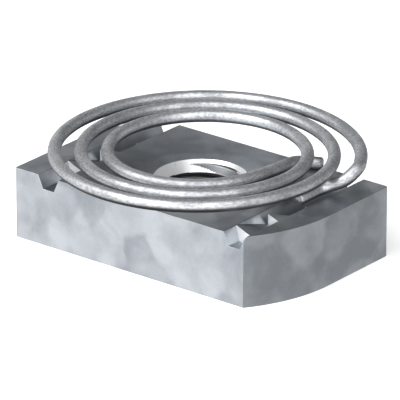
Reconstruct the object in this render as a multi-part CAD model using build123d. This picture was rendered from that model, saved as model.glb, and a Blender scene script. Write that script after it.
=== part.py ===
from build123d import *
import math
import os

# Spring nut for 41 mm strut channel: a toothed, threaded nut block and a flat
# spiral wire spring, whose two ends are welded to the block's grooved face.
# Millimetres, +Z up. The origin is where the axis of the thread meets the
# underside of the block. X runs along the block, Y across it.

# nut block
nut_length = 34.5
nut_width = 20.6
nut_thickness = 8.0
corner_break = 0.3            # radius on the two square corners

# threaded hole, modelled at its minor diameter
bore_dia = 8.0
mouth_dia = 10.2              # widest part of the 45 degree lead-in on the grooved face

# two grooves across the top, which take the turned-in lips of the channel
groove_spacing = 25.2         # from one groove's centre line to the other's
groove_mouth = 2.8
groove_floor = 1.5
groove_depth = 1.5

# teeth in the grooves: a steep wall that faces -Y, then a ramp that falls towards +Y
tooth_pitch = 4.83
tooth_skew = 25.0             # turn of the walls from square across the groove, degrees
tooth_land = 0.2              # flat on top of each tooth
ramp_drop = 1.2
right_inset, right_teeth = 1.5, 4    # first wall from the -Y side, and how many
left_inset, left_teeth = 4.35, 3

# spring
wire_dia = 1.4
coil_rise = 2.8               # wire centre above the top face
coil_start_radius = 8.95      # where the inner leg leaves the spiral
coil_pitch = 2.84             # growth of the radius in one turn
coil_start_angle = -13.0      # degrees from +X, seen from above
coil_sweep = 1035.0           # clockwise, seen from above
weld_sink = 0.1               # how far the wire's ends are pressed flat on the block
leg_lead = 1.0                # straight run of the leg before it starts down
leg_foot = (6.2, 1.6)         # where the leg reaches the face: X, and in from the +Y side
leg_tip = (8.8, 0.45)         # end of the leg, given the same way
tail_lead = 1.7               # straight run of the tail before it starts down
tail_shoulder = (2.6, 5.5)    # outward from the groove's centre line, and Y
tail_shoulder_drop = 1.15
tail_foot = 4.35              # Y where the tail comes down on its groove
tail_side = 0.25              # tail's centre line outward from the groove's
tail_reach = 0.6              # tail past the wall of the tooth it rests on
tail_tooth = 3                # counted from the -Y side

# worked out from the sizes above
half_length = nut_length / 2
half_width = nut_width / 2
groove_x = groove_spacing / 2
coil_z = nut_thickness + coil_rise
seat_z = nut_thickness + wire_dia / 2 - weld_sink
over = 1.0                    # how far a cutting tool runs past a face


def tooth_wall(inset, index):
    """Y of a tooth's wall on its groove's centre line."""
    return inset - half_width + index * tooth_pitch


def nut_outline():
    """Two opposite corners are rounded about the thread, so the nut can turn in the channel."""
    plate = Rectangle(nut_length, nut_width)
    turning_circle = Circle(half_length)
    quarter = Rectangle(half_length, half_width)
    square_corners = (
        Pos(-half_length / 2, -half_width / 2) * quarter
        + Pos(half_length / 2, half_width / 2) * quarter
    )
    return (plate & turning_circle) + square_corners


def groove_space():
    """The room one groove takes from the block, centred on X = 0."""
    mouth, floor_half = groove_mouth / 2, groove_floor / 2
    floor_z = nut_thickness - groove_depth
    section = Polyline(
        (-mouth, nut_thickness + over),
        (-mouth, nut_thickness),
        (-floor_half, floor_z),
        (floor_half, floor_z),
        (mouth, nut_thickness),
        (mouth, nut_thickness + over),
        close=True,
    )
    return extrude(Plane.XZ * make_face(section), amount=half_width + over, both=True)


def tooth_row(count):
    """A row of teeth, first wall at the origin, wide enough to fill any groove."""
    step = tooth_pitch * math.cos(math.radians(tooth_skew))
    slope = ramp_drop / (step - tooth_land)
    bottom = nut_thickness - groove_depth - over
    points = [(0, bottom)]
    for index in range(count):
        start = index * step
        points += [(start, nut_thickness), (start + tooth_land, nut_thickness)]
        if index < count - 1:
            points.append((start + step, nut_thickness - ramp_drop))
    last_land = (count - 1) * step + tooth_land
    points.append((last_land + (groove_depth + over) / slope, bottom))
    profile = make_face(Polyline(*points, close=True))
    row = extrude(Plane.YZ * profile, amount=groove_mouth, both=True)
    return Rot(0, 0, -tooth_skew) * row


def nut_body():
    blank = extrude(nut_outline() - Circle(bore_dia / 2), amount=nut_thickness)
    top_rims = blank.faces().sort_by(Axis.Z)[-1].edges().filter_by(GeomType.CIRCLE)
    bore_rim = top_rims.sort_by(SortBy.RADIUS)[0]
    blank = chamfer(bore_rim, length=(mouth_dia - bore_dia) / 2)
    uprights = blank.edges().filter_by(Axis.Z)
    square_uprights = [
        edge for edge in uprights
        if abs(abs(edge.center().X) - half_length) < 1e-6
        and abs(abs(edge.center().Y) - half_width) < 1e-6
    ]
    block = fillet(square_uprights, radius=corner_break)
    for x, inset, count in (
        (groove_x, right_inset, right_teeth),
        (-groove_x, left_inset, left_teeth),
    ):
        teeth = Pos(x, tooth_wall(inset, 0), 0) * tooth_row(count)
        block -= Pos(x, 0, 0) * groove_space() - teeth
    return block


def spiral_arcs():
    """Quarter circles that meet in line. Each radius grows by a quarter of the pitch, and
    the centres go round a small square about the thread's axis."""
    side = coil_pitch / 4
    angle = coil_start_angle
    # the corner of the square that the first quarter turns about
    outward = Vector(side / 2, 0).rotate(Axis.Z, angle)
    centre = outward.rotate(Axis.Z, -90) - outward
    radius = coil_start_radius + side / 2
    left = coil_sweep
    arcs = []
    while left > 1e-6:
        turn = min(90.0, left)
        arcs.append(CenterArc((centre.X, centre.Y, coil_z), radius, angle, -turn))
        angle -= turn
        left -= turn
        centre -= Vector(side, 0).rotate(Axis.Z, angle)
        radius += side
    return arcs


def bent_run(points):
    """Straight runs joined by the largest bends that their lengths allow."""
    radii = []
    for before, corner, after in zip(points, points[1:], points[2:]):
        entry, leave = corner - before, after - corner
        half_turn = math.radians(entry.get_angle(leave)) / 2
        radii.append(0.45 * min(entry.length, leave.length) / math.tan(half_turn))
    return FilletPolyline(*points, radius=radii)


def spring_path():
    arcs = spiral_arcs()
    inner, outer = arcs[0] @ 0, arcs[-1] @ 1

    # the inner leg runs on inward, dips under the first turn and lies on the face
    leg = bent_run([
        Vector(leg_tip[0], half_width - leg_tip[1], seat_z),
        Vector(leg_foot[0], half_width - leg_foot[1], seat_z),
        inner - (arcs[0] % 0) * leg_lead,
        inner,
    ])

    # the outer tail steps down and in, and lies along the right-hand groove
    tail_x = groove_x + tail_side
    tail_end = tooth_wall(right_inset, tail_tooth - 1) - tail_reach
    tail = bent_run([
        outer,
        outer + (arcs[-1] % 1) * tail_lead,
        Vector(groove_x + tail_shoulder[0], tail_shoulder[1], coil_z - tail_shoulder_drop),
        Vector(tail_x, tail_foot, seat_z),
        Vector(tail_x, tail_end, seat_z),
    ])
    return Wire([*leg.edges(), *[arc.edge() for arc in arcs], *tail.edges()])


def coil_spring():
    path = spring_path()
    section = Plane(origin=path @ 0, z_dir=path % 0) * Circle(wire_dia / 2)
    wire = sweep(section, path=path)
    # the pressed ends are flat where they lie on the block
    anvil = Pos(0, 0, nut_thickness / 2) * Box(2 * nut_length, 2 * nut_width, nut_thickness)
    return wire - anvil


os.makedirs("parts", exist_ok=True)
for name, solid in (("nut_body", nut_body()), ("coil_spring", coil_spring())):
    export_step(solid, f"parts/{name}.step")
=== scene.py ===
import math
import bmesh
import bpy
import numpy as np
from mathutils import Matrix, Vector


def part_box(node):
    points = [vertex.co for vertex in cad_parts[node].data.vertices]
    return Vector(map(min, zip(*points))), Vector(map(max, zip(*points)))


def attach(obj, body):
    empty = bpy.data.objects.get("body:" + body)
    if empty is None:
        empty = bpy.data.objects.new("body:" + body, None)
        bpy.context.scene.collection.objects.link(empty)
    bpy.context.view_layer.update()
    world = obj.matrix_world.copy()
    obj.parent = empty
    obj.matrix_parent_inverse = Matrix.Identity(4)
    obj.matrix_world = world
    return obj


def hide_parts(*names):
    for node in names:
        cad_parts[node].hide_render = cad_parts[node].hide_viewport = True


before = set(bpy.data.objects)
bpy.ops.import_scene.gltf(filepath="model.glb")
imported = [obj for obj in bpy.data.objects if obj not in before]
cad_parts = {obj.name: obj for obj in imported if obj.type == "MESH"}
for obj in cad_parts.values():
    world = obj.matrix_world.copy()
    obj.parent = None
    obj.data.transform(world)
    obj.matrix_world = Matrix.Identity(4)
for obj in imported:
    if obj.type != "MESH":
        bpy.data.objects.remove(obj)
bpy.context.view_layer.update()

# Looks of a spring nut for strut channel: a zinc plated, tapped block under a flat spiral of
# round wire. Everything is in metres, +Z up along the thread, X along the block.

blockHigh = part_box("nut_body")[1]
faceHeight = blockHigh.z          # the grooved face
halfWidth = blockHigh.y
mergeReach = 1e-6                 # points nearer than this are one
mapScale = 1000                   # patterns are laid out in millimetres


def direction(degrees):
    # unit vectors in the XY plane, one row for each angle
    turn = np.radians(np.atleast_1d(np.asarray(degrees, float)))
    return np.stack([np.cos(turn), np.sin(turn), np.zeros_like(turn)], axis=-1)


def unit(rows):
    return rows / np.linalg.norm(rows, axis=-1, keepdims=True)


def gridFaces(rowCount, columnCount):
    # quads between neighbouring rows, closed round the columns
    row, column = np.meshgrid(np.arange(rowCount - 1), np.arange(columnCount), indexing="ij")
    ahead = (column + 1) % columnCount
    corners = (row * columnCount + column, row * columnCount + ahead,
               (row + 1) * columnCount + ahead, (row + 1) * columnCount + column)
    return np.stack(corners, axis=-1).reshape(-1, 4)


def newPiece(name, mesh, slotName, *replacedNodes):
    piece = bpy.data.objects.new(name, mesh)
    bpy.context.scene.collection.objects.link(piece)
    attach(piece, "root")
    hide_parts(*replacedNodes)
    return piece


# sizes of the spring, in metres and degrees, the same as the part's own
wire = {
    "diameter": 0.0014,
    "startRadius": 0.00895,       # where the inner leg leaves the spiral
    "pitch": 0.00284,             # growth of the radius in one turn
    "rise": 0.0028,               # wire centre above the block's top face
    "startAngle": -13.0,
    "sweep": 1035.0,              # clockwise from above
    "seat": 0.0006,               # wire centre above the face where its ends are pressed flat
    "legLead": 0.001,             # straight run of the leg before it starts down
    "legFoot": (0.0062, 0.0016),  # where the leg reaches the face: X, and in from the +Y side
    "legTip": (0.0088, 0.00045),  # end of the leg, given the same way
    "grooveX": 0.0126,
    "tailLead": 0.0017,           # straight run of the tail before it starts down
    "tailShoulder": (0.0026, 0.0055, 0.00115),    # out from the groove, Y, and how far down
    "tailSide": 0.00025,          # out from the groove's centre line
    "tailRun": (0.00435, 0.00026),                # Y where the tail lands and where it ends
    "bendShare": 0.45,            # share of the shorter run that a bend takes up
    "around": 36,
    "degreesPerRow": 2.5,
    "rowsPerBend": 14,
    "endRound": 0.00012,          # how much smaller the last ring is
}


def spiralRows(degreesSwept):
    # Quarter circles that meet in line. After q quarters the radius has grown by q sides of a
    # small square, and the centre stands on the square's corner q, a quarter turn on each time.
    side = wire["pitch"] / 4
    quarter = np.minimum(np.floor(degreesSwept / 90), math.ceil(wire["sweep"] / 90) - 1)
    corner = direction(wire["startAngle"] - 135 - 90 * quarter) * side / math.sqrt(2)
    radius = wire["startRadius"] + side * (quarter + 0.5)
    rows = corner + radius[:, None] * direction(wire["startAngle"] - degreesSwept)
    rows[:, 2] = faceHeight + wire["rise"]
    return rows


def bentRows(corners):
    # Straight runs joined by circular arcs. An arc is the rational quadratic curve from one
    # tangent point to the other with the corner between them, weighted by the cosine of half
    # the turn.
    corners = np.asarray(corners, float)
    pieces = [corners[:1]]
    for before, corner, after in zip(corners, corners[1:], corners[2:]):
        entry, leave = corner - before, after - corner
        reach = wire["bendShare"] * min(np.linalg.norm(entry), np.linalg.norm(leave))
        entry, leave = unit(entry), unit(leave)
        weight = math.cos(math.acos(np.clip(entry @ leave, -1, 1)) / 2)
        t = np.linspace(0, 1, wire["rowsPerBend"])[:, None]
        first, middle, last = (1 - t) ** 2, 2 * weight * t * (1 - t), t ** 2
        start, end = corner - entry * reach, corner + leave * reach
        pieces.append((first * start + middle * corner + last * end) / (first + middle + last))
    pieces.append(corners[-1:])
    return np.concatenate(pieces)


def wireRoute():
    swept = np.linspace(0, wire["sweep"], int(wire["sweep"] / wire["degreesPerRow"]))
    spiral = spiralRows(swept)
    seatHeight = faceHeight + wire["seat"]
    startWay = direction(wire["startAngle"] - 90)[0]
    endWay = direction(wire["startAngle"] - 90 - wire["sweep"])[0]
    leg = bentRows([
        (wire["legTip"][0], halfWidth - wire["legTip"][1], seatHeight),
        (wire["legFoot"][0], halfWidth - wire["legFoot"][1], seatHeight),
        spiral[0] - startWay * wire["legLead"],
        spiral[0],
    ])
    out, across, down = wire["tailShoulder"]
    tailX = wire["grooveX"] + wire["tailSide"]
    tail = bentRows([
        spiral[-1],
        spiral[-1] + endWay * wire["tailLead"],
        (wire["grooveX"] + out, across, faceHeight + wire["rise"] - down),
        (tailX, wire["tailRun"][0], seatHeight),
        (tailX, wire["tailRun"][1], seatHeight),
    ])
    return np.concatenate([leg[:-1], spiral, tail[1:]])


def wireMesh():
    # A circle carried along the route: centre + radius (cos a . side + sin a . up), with side
    # level and up square to both. Points below the block's face are pressed up to it.
    route = wireRoute()
    steps = np.linalg.norm(np.diff(route, axis=0), axis=1)
    keep = np.concatenate([[True], steps > 1e-7])
    route = route[keep]
    tangent = unit(np.gradient(route, axis=0))
    tangent[0], tangent[-1] = unit(route[1] - route[0]), unit(route[-1] - route[-2])
    side = unit(np.cross(tangent, [0.0, 0.0, 1.0]))
    up = np.cross(side, tangent)
    # cut ends: the last ring is a little smaller, and the one before stands just inside it
    endStep = wire["endRound"]
    route = np.concatenate([route[:1], route[:1] + tangent[:1] * endStep, route[1:-1],
                            route[-1:] - tangent[-1:] * endStep, route[-1:]])
    side = np.concatenate([side[:1], side[:1], side[1:-1], side[-1:], side[-1:]])
    up = np.concatenate([up[:1], up[:1], up[1:-1], up[-1:], up[-1:]])
    size = np.full(len(route), wire["diameter"] / 2)
    size[[0, -1]] -= endStep
    count = wire["around"]
    angle = np.linspace(0, 2 * math.pi, count, endpoint=False)
    ring = (np.cos(angle)[None, :, None] * side[:, None, :]
            + np.sin(angle)[None, :, None] * up[:, None, :])
    points = route[:, None, :] + size[:, None, None] * ring
    points[..., 2] = np.maximum(points[..., 2], faceHeight)
    rows = len(route)
    along = np.concatenate([[0.0], np.cumsum(np.linalg.norm(np.diff(route, axis=0), axis=1))])
    faces = gridFaces(rows, count)
    caps = [list(range(count))[::-1], list(range((rows - 1) * count, rows * count))]
    mesh = bpy.data.meshes.new("springWire")
    mesh.from_pydata(points.reshape(-1, 3), [], faces.tolist() + caps)
    # the pattern follows the wire: U round it and V along it, in millimetres on the map
    corner = np.empty(len(mesh.loops), dtype=np.int32)
    mesh.loops.foreach_get("vertex_index", corner)
    girth = math.pi * wire["diameter"]
    uv = np.stack([(corner % count) / count * girth, along[corner // count]], axis=-1)
    # a quad that closes the ring goes on past the girth, where it would jump back to 0
    around = uv[:len(faces) * 4, 0].reshape(-1, 4)
    wrapped = np.ptp(around, axis=1) > wire["diameter"]
    around += (wrapped[:, None] & (around < wire["diameter"])) * girth
    mesh.uv_layers.new(name="wireRun").data.foreach_set("uv", (uv * mapScale).ravel())
    mesh.shade_smooth()
    for cap in mesh.polygons[-2:]:
        cap.use_smooth = False
    mesh.update()
    return mesh


springWire = newPiece("springWire", wireMesh(), "spring_wire", "coil_spring")
print("spring:", len(springWire.data.polygons), "faces")


# sizes of the block's finer shapes, in metres
block = {
    "edgeRound": 0.00012,         # width of the broken edges
    "roundSegments": 3,
    "sharpTurn": math.radians(25),                # an edge that turns more than this is broken
    "flatTurn": math.radians(0.5),                # faces that turn less than this are one
    "minorRadius": 0.0040,
    "majorRadius": 0.0047625,
    "mouthRadius": 0.0051,
    "threadPitch": 0.0254 / 16,
    "threadWave": (1.35, 0.12),   # height of the triangle wave before its tops are cut, and its drop
    "coneReach": 0.00002,         # a quad this near the cone counts as on it
    "rimGap": 0.00004,            # from the tapped surface's first and last rows to the rims
    "runIn": 0.0007,              # height in which the thread fades at the underside
    "toothSkew": math.radians(25),
    "grooveDepth": 0.0015,
    "columns": 180,
    "rows": 120,
}


def threadPoints():
    # radius = minor + depth x a rounded triangle wave of (height / pitch - angle / full turn),
    # and nowhere inside the 45 degree cone of the lead-in
    angle = np.linspace(0, 2 * math.pi, block["columns"], endpoint=False)[None, :]
    height = np.linspace(block["rimGap"], faceHeight - block["rimGap"], block["rows"])[:, None]
    phase = (height / block["threadPitch"] - angle / (2 * math.pi)) % 1.0
    tall, drop = block["threadWave"]
    wave = np.clip(tall * (1 - np.abs(2 * phase - 1)) - drop, 0.0, 1.0)
    fade = np.clip(height / block["runIn"], 0, 1)
    depth = block["majorRadius"] - block["minorRadius"]
    thread = block["minorRadius"] + depth * wave * fade * fade * (3 - 2 * fade)
    cone = block["mouthRadius"] - (faceHeight - height)
    radius = np.maximum(thread, cone)
    return np.stack([radius * np.cos(angle), radius * np.sin(angle),
                     np.broadcast_to(height, radius.shape)], axis=-1)


def threadMesh():
    # the rows above as quads that face the axis, with the lead-in's paler finish (partly painted
    # light) where they lie on it and the dark thread finish (painted shade) elsewhere
    grid = threadPoints()
    faces = gridFaces(*grid.shape[:2])[:, ::-1]
    points = grid.reshape(-1, 3)
    middle = points[faces].mean(axis=1)
    reach = np.hypot(middle[:, 0], middle[:, 1])
    onCone = reach < block["mouthRadius"] - (faceHeight - middle[:, 2]) + block["coneReach"]
    mesh = bpy.data.meshes.new("tappedHole")
    mesh.from_pydata(points, [], faces.tolist())
    mesh.polygons.foreach_set("material_index", np.where(onCone, 1, 2).astype(np.int32))
    return mesh


def blockMesh():
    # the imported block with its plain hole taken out, its flat faces made whole, and the tapped
    # surface let in between the two rims
    shell = bmesh.new()
    shell.from_mesh(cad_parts["nut_body"].data)
    bmesh.ops.remove_doubles(shell, verts=shell.verts, dist=mergeReach)
    limit = block["mouthRadius"] + 10 * mergeReach
    hole = [face for face in shell.faces
            if all(vertex.co.xy.length < limit for vertex in face.verts)]
    bmesh.ops.delete(shell, geom=hole, context="FACES")
    kept = [edge for edge in shell.edges if not edge.is_boundary]
    bmesh.ops.dissolve_limit(shell, angle_limit=block["flatTurn"], verts=[], edges=kept)
    for edge in shell.edges:
        if edge.is_boundary:
            edge.smooth = False
    thread = threadMesh()
    shell.from_mesh(thread)
    bpy.data.meshes.remove(thread)
    openRims = [edge for edge in shell.edges if edge.is_boundary]
    for upper in (True, False):
        pair = [edge for edge in openRims if (edge.verts[0].co.z > faceHeight / 2) == upper]
        for face in bmesh.ops.bridge_loops(shell, edges=pair)["faces"]:
            face.material_index = 1
    weight = shell.edges.layers.float.new("bevel_weight_edge")
    for edge in shell.edges:
        facing = edge.link_faces
        if len(facing) == 2 and all(face.material_index == 0 for face in facing):
            edge[weight] = float(edge.calc_face_angle(0) > block["sharpTurn"])
    # the teeth's steep walls get a finish of their own, near white and little metallic: painted
    # light, so they show bright
    wallWay = Vector((-math.sin(block["toothSkew"]), -math.cos(block["toothSkew"]), 0))
    for face in shell.faces:
        face.smooth = True
        inGroove = face.calc_center_median().z > faceHeight - block["grooveDepth"]
        if inGroove and face.normal.dot(wallWay) > 0.99:
            face.material_index = 3
    openEdges = sum(not edge.is_manifold for edge in shell.edges)
    bmesh.ops.recalc_face_normals(shell, faces=shell.faces)
    mesh = bpy.data.meshes.new("nutBlock")
    shell.to_mesh(mesh)
    shell.free()
    print("block: open edges", openEdges)
    return mesh


nutBlock = newPiece("nutBlock", blockMesh(), "zinc_steel", "nut_body")
rounding = nutBlock.modifiers.new("brokenEdges", "BEVEL")
rounding.limit_method = "WEIGHT"
rounding.width = block["edgeRound"]
rounding.segments = block["roundSegments"]
evened = nutBlock.modifiers.new("flatFaces", "WEIGHTED_NORMAL")
evened.keep_sharp = True
evened.weight = 100
print("block:", len(nutBlock.data.polygons), "faces")


def nodeGroup(name, inputs, outputs):
    group = bpy.data.node_groups.new(name, "ShaderNodeTree")
    for label, kind, value in inputs:
        socket = group.interface.new_socket(name=label, in_out="INPUT", socket_type=kind)
        if value is not None:
            socket.default_value = value
    for label, kind in outputs:
        group.interface.new_socket(name=label, in_out="OUTPUT", socket_type=kind)
    return group, group.nodes.new("NodeGroupInput"), group.nodes.new("NodeGroupOutput")


def mathNode(tree, operation, first, second=None, clamp=False):
    node = tree.nodes.new("ShaderNodeMath")
    node.operation = operation
    node.use_clamp = clamp
    for socket, value in zip(node.inputs, (first, second)):
        if value is None:
            continue
        if isinstance(value, (int, float)):
            socket.default_value = value
        else:
            tree.links.new(value, socket)
    return node.outputs[0]


def noiseNode(tree, vector, scale, detail, roughness=0.5, distortion=0.0):
    node = tree.nodes.new("ShaderNodeTexNoise")
    tree.links.new(vector, node.inputs["Vector"])
    if isinstance(scale, (int, float)):
        node.inputs["Scale"].default_value = scale
    else:
        tree.links.new(scale, node.inputs["Scale"])
    node.inputs["Detail"].default_value = detail
    node.inputs["Roughness"].default_value = roughness
    node.inputs["Distortion"].default_value = distortion
    return node.outputs["Fac"]


def cloudGroup():
    # tone: broad clouds, with spangle patches and fine grain on top; height: grain and dimples
    group, entry, leave = nodeGroup(
        "zincClouds",
        [("Vector", "NodeSocketVector", None), ("Cloud Size", "NodeSocketFloat", 0.3),
         ("Patch Size", "NodeSocketFloat", 0.5), ("Patches", "NodeSocketFloat", 0.4),
         ("Grain", "NodeSocketFloat", 0.3)],
        [("Tone", "NodeSocketFloat"), ("Height", "NodeSocketFloat")])
    vector = entry.outputs["Vector"]
    cloud = noiseNode(group, vector, entry.outputs["Cloud Size"], 3.0, 0.55, 0.4)
    warp = group.nodes.new("ShaderNodeTexNoise")
    warp.inputs["Scale"].default_value = 0.9
    group.links.new(vector, warp.inputs["Vector"])
    bent = group.nodes.new("ShaderNodeMix")
    bent.data_type = "VECTOR"
    bent.inputs["Factor"].default_value = 0.35
    group.links.new(vector, bent.inputs["A"])
    group.links.new(warp.outputs["Color"], bent.inputs["B"])
    cells = group.nodes.new("ShaderNodeTexVoronoi")
    cells.feature = "SMOOTH_F1"
    cells.inputs["Smoothness"].default_value = 0.35
    group.links.new(bent.outputs["Result"], cells.inputs["Vector"])
    group.links.new(entry.outputs["Patch Size"], cells.inputs["Scale"])
    patch = group.nodes.new("ShaderNodeSeparateColor")
    group.links.new(cells.outputs["Color"], patch.inputs["Color"])
    grain = noiseNode(group, vector, 6.0, 4.0, 0.6)
    patchPart = mathNode(group, "MULTIPLY", mathNode(group, "SUBTRACT", patch.outputs[0], 0.5),
                         entry.outputs["Patches"])
    grainPart = mathNode(group, "MULTIPLY", mathNode(group, "SUBTRACT", grain, 0.5),
                         entry.outputs["Grain"])
    tone = mathNode(group, "ADD", mathNode(group, "ADD", cloud, patchPart), grainPart, clamp=True)
    group.links.new(tone, leave.inputs["Tone"])
    group.links.new(mathNode(group, "ADD", mathNode(group, "MULTIPLY", grain, 0.5), cloud),
                    leave.inputs["Height"])
    return group


zincClouds = cloudGroup()


def paintedUndersideShade(tree, vector, colour, look):
    # the height of a point round the wire is the sine of (U / radius), both in millimetres;
    # low points are painted dark, a painted shade along the wire's lower side
    parts = tree.nodes.new("ShaderNodeSeparateXYZ")
    tree.links.new(vector, parts.inputs["Vector"])
    radius = wire["diameter"] / 2 * mapScale
    height = mathNode(tree, "SINE", mathNode(tree, "DIVIDE", parts.outputs["X"], radius))
    low = tree.nodes.new("ShaderNodeMapRange")
    low.interpolation_type = "SMOOTHSTEP"
    low.inputs["From Min"].default_value, low.inputs["From Max"].default_value = look["band"]
    low.inputs["To Max"].default_value = look["underside"]
    tree.links.new(height, low.inputs["Value"])
    mix = tree.nodes.new("ShaderNodeMix")
    mix.data_type = "RGBA"
    tree.links.new(low.outputs["Result"], mix.inputs["Factor"])
    tree.links.new(colour, mix.inputs["A"])
    mix.inputs["B"].default_value = look["undersideShadeColour"]
    return mix.outputs["Result"]


def metalMaterial(name, look):
    material = bpy.data.materials.new(name)
    material.use_nodes = True
    tree = material.node_tree
    shader = tree.nodes["Principled BSDF"]
    shader.inputs["Metallic"].default_value = look["metallic"]
    mapping = tree.nodes.new("ShaderNodeMapping")
    if look["follows"] == "wire":
        uvMap = tree.nodes.new("ShaderNodeUVMap")
        uvMap.uv_map = "wireRun"
        tree.links.new(uvMap.outputs["UV"], mapping.inputs["Vector"])
    else:
        place = tree.nodes.new("ShaderNodeTexCoord")
        tree.links.new(place.outputs["Object"], mapping.inputs["Vector"])
    mapping.inputs["Scale"].default_value = look["stretch"]
    clouds = tree.nodes.new("ShaderNodeGroup")
    clouds.node_tree = zincClouds
    for label, value in look["clouds"].items():
        clouds.inputs[label].default_value = value
    tree.links.new(mapping.outputs["Vector"], clouds.inputs["Vector"])
    colours = tree.nodes.new("ShaderNodeValToRGB")
    colours.color_ramp.elements[0].position, colours.color_ramp.elements[1].position = look["range"]
    colours.color_ramp.elements[0].color = (*look["dark"], 1)
    colours.color_ramp.elements[1].color = (*look["light"], 1)
    tree.links.new(clouds.outputs["Tone"], colours.inputs["Fac"])
    surface = colours.outputs["Color"]
    if look["follows"] == "wire":
        # painted shade: the wire's lower side is darkened in its colour
        surface = paintedUndersideShade(tree, uvMap.outputs["UV"], surface, look)
    tree.links.new(surface, shader.inputs["Base Color"])
    rough = tree.nodes.new("ShaderNodeMapRange")
    rough.inputs["From Min"].default_value, rough.inputs["From Max"].default_value = look["range"]
    rough.inputs["To Min"].default_value, rough.inputs["To Max"].default_value = look["roughness"]
    tree.links.new(clouds.outputs["Tone"], rough.inputs["Value"])
    tree.links.new(rough.outputs["Result"], shader.inputs["Roughness"])
    bump = tree.nodes.new("ShaderNodeBump")
    bump.inputs["Strength"].default_value = look["bump"]
    bump.inputs["Distance"].default_value = look["bumpDepth"]
    tree.links.new(clouds.outputs["Height"], bump.inputs["Height"])
    tree.links.new(bump.outputs["Normal"], shader.inputs["Normal"])
    return material


blockLook = {
    "metallic": 1.0,
    "follows": "object",
    "stretch": (mapScale, mapScale, mapScale),
    "clouds": {"Cloud Size": 0.24, "Patch Size": 0.42, "Patches": 0.42, "Grain": 0.30},
    "range": (0.25, 0.78),
    "dark": (0.41, 0.44, 0.48),
    "light": (0.67, 0.71, 0.75),
    "roughness": (0.42, 0.32),
    "bump": 0.25,
    "bumpDepth": 0.0001,
}
# the lead-in's turned finish, paler and less metallic than the plating: partly the cut metal's own
# brightness, partly painted light that makes the chamfer show bright
turnedPaintedLightLook = dict(blockLook, metallic=0.45, range=(0.1, 0.9), dark=(0.80, 0.82, 0.84),
                  light=(0.94, 0.95, 0.96), roughness=(0.34, 0.24), bump=0.1)
# painted light: a near white, barely metallic finish that makes the steep tooth walls show bright
toothPaintedLightLook = dict(turnedPaintedLightLook, metallic=0.25, dark=(0.88, 0.89, 0.90), light=(0.98, 0.98, 0.98))
# painted shade: the thread is coloured dark, standing in for the shade deep in the bore
threadShadeLook = dict(turnedPaintedLightLook, metallic=1.0, dark=(0.16, 0.165, 0.17), light=(0.26, 0.27, 0.28),
                  roughness=(0.5, 0.4))
# the painted shade along the wire's lower side: how strongly the dark band shows, and the
# heights round the wire, from -1 to 1, where it starts and is full
wireLook = dict(blockLook, follows="wire", underside=0.85, band=(0.02, -0.38), metallic=0.80,
                stretch=(1, 0.35, 1),
                undersideShadeColour=(0.05, 0.05, 0.055, 1),
                clouds={"Cloud Size": 0.9, "Patch Size": 1.2, "Patches": 0.25, "Grain": 1.6},
                dark=(0.40, 0.41, 0.43), light=(0.76, 0.78, 0.81), roughness=(0.50, 0.34), bump=0.6)

nutBlock.data.materials.append(metalMaterial("platedZinc", blockLook))
nutBlock.data.materials.append(metalMaterial("turnedZincPaintedLight", turnedPaintedLightLook))
nutBlock.data.materials.append(metalMaterial("tappedThreadPaintedShade", threadShadeLook))
nutBlock.data.materials.append(metalMaterial("toothWallsPaintedLight", toothPaintedLightLook))
springWire.data.materials.append(metalMaterial("drawnWire", wireLook))
print("finishes:", len(bpy.data.materials))


studio = {
    "floorHalf": 2.0,
    "floorColour": (0.93, 0.93, 0.93),
    "floorGlow": 0.45,
    "shadeRadius": 0.009,         # dark ground below the hole
    "shadeDepth": 0.00005,        # how far under the floor it lies
    "shadeColour": (0.02, 0.02, 0.02),
    "ambient": 0.035,
    # soft patches of the surrounding light: way to it, angles where it is full and gone, strength
    "patches": [
        ((-0.64, -0.76, -0.10), 28, 60, 0.98),
        ((0.44, -0.72, 0.53), 36, 60, 1.75),
        ((-0.58, 0.72, 0.40), 12, 42, 0.15),
        ((0.86, -0.35, -0.38), 12, 48, 0.34),
        ((-0.76, 0.60, -0.27), 14, 54, 0.40),
        ((0.62, 0.74, -0.26), 14, 56, 0.46),
    ],
    "keyPower": 2.2,
    "keyPlace": (-0.25, -0.35, 0.55),
    "keySize": 0.35,
}


def flatStage(name, corners, colour, glow=0.0):
    # one flat face that isn't part of the nut, in a matt finish
    mesh = bpy.data.meshes.new(name)
    mesh.from_pydata(corners, [], [list(range(len(corners)))])
    flat = bpy.data.objects.new(name, mesh)
    bpy.context.scene.collection.objects.link(flat)
    matt = bpy.data.materials.new(name)
    matt.use_nodes = True
    shader = matt.node_tree.nodes["Principled BSDF"]
    shader.inputs["Base Color"].default_value = (*colour, 1)
    shader.inputs["Roughness"].default_value = 1.0
    shader.inputs["Specular IOR Level"].default_value = 0.0
    shader.inputs["Emission Color"].default_value = (1, 1, 1, 1)
    shader.inputs["Emission Strength"].default_value = glow
    mesh.materials.append(matt)
    return flat


def studioFloor():
    # the nut is lit by the surroundings on every side, so the floor is kept out of its
    # reflections, bounces and shadows
    half = studio["floorHalf"]
    corners = [(-half, -half, 0), (half, -half, 0), (half, half, 0), (-half, half, 0)]
    floor = flatStage("studioFloor", corners, studio["floorColour"], studio["floorGlow"])
    floor.visible_glossy = False
    floor.visible_diffuse = False
    floor.visible_shadow = False


def groundShade():
    # a disc round the thread's axis, under the floor, so only reflections in the hole meet it
    rim = direction(np.arange(0, 360, 10)) * studio["shadeRadius"]
    flatStage("groundShade", rim - [0, 0, studio["shadeDepth"]], studio["shadeColour"])


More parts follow.
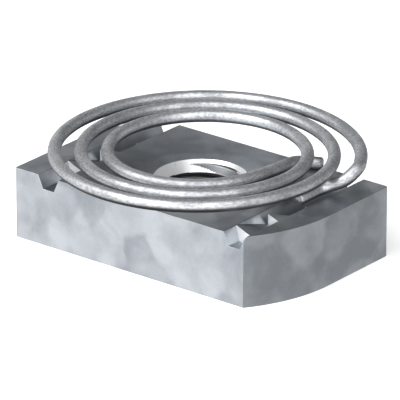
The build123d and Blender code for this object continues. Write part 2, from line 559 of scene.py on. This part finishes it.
def surroundings():
    # brightness of a direction = ambient + each patch, which fades smoothly with the angle to it
    world = bpy.data.worlds.new("studioWalls")
    bpy.context.scene.world = world
    world.use_nodes = True
    tree = world.node_tree
    background = tree.nodes["Background"]
    place = tree.nodes.new("ShaderNodeTexCoord")
    total = studio["ambient"]
    for way, full, gone, strength in studio["patches"]:
        dot = tree.nodes.new("ShaderNodeVectorMath")
        dot.operation = "DOT_PRODUCT"
        tree.links.new(place.outputs["Generated"], dot.inputs[0])
        dot.inputs[1].default_value = Vector(way).normalized()
        ramp = tree.nodes.new("ShaderNodeMapRange")
        ramp.interpolation_type = "SMOOTHSTEP"
        ramp.inputs["From Min"].default_value = math.cos(math.radians(gone))
        ramp.inputs["From Max"].default_value = math.cos(math.radians(full))
        ramp.inputs["To Max"].default_value = strength
        tree.links.new(dot.outputs["Value"], ramp.inputs["Value"])
        total = mathNode(tree, "ADD", ramp.outputs["Result"], total)
    tree.links.new(total, background.inputs["Color"])
    background.inputs["Strength"].default_value = 1.0


def keyLight():
    lamp = bpy.data.lights.new("keyLight", "AREA")
    lamp.shape = "DISK"
    lamp.size = studio["keySize"]
    lamp.energy = studio["keyPower"]
    holder = bpy.data.objects.new("keyLight", lamp)
    bpy.context.scene.collection.objects.link(holder)
    holder.location = studio["keyPlace"]
    holder.rotation_euler = (-Vector(studio["keyPlace"])).to_track_quat("-Z", "Y").to_euler()


# degrees, metres, and millimetres for the lens
view = {
    "azimuth": 38.518,
    "elevation": 22.448,
    "distance": 0.60028,
    "lens": 505.6,
    "aim": (0.0, 0.0, 0.005),
    "slideRight": -0.000086,
    "slideUp": 0.00030,
}


def camera():
    around, above = math.radians(view["azimuth"]), math.radians(view["elevation"])
    outward = Vector((math.sin(around) * math.cos(above), -math.cos(around) * math.cos(above),
                      math.sin(above)))
    turned = outward.to_track_quat("Z", "Y")
    lensHolder = bpy.data.cameras.new("studioCamera")
    lensHolder.lens = view["lens"]
    lensHolder.sensor_width = 36
    body = bpy.data.objects.new("studioCamera", lensHolder)
    bpy.context.scene.collection.objects.link(body)
    slide = turned @ Vector((view["slideRight"], view["slideUp"], 0))
    body.location = Vector(view["aim"]) + outward * view["distance"] + slide
    body.rotation_euler = turned.to_euler()
    bpy.context.scene.camera = body


studioFloor()
groundShade()
surroundings()
keyLight()
camera()
bpy.context.scene.view_settings.view_transform = "Standard"
print("studio ready")
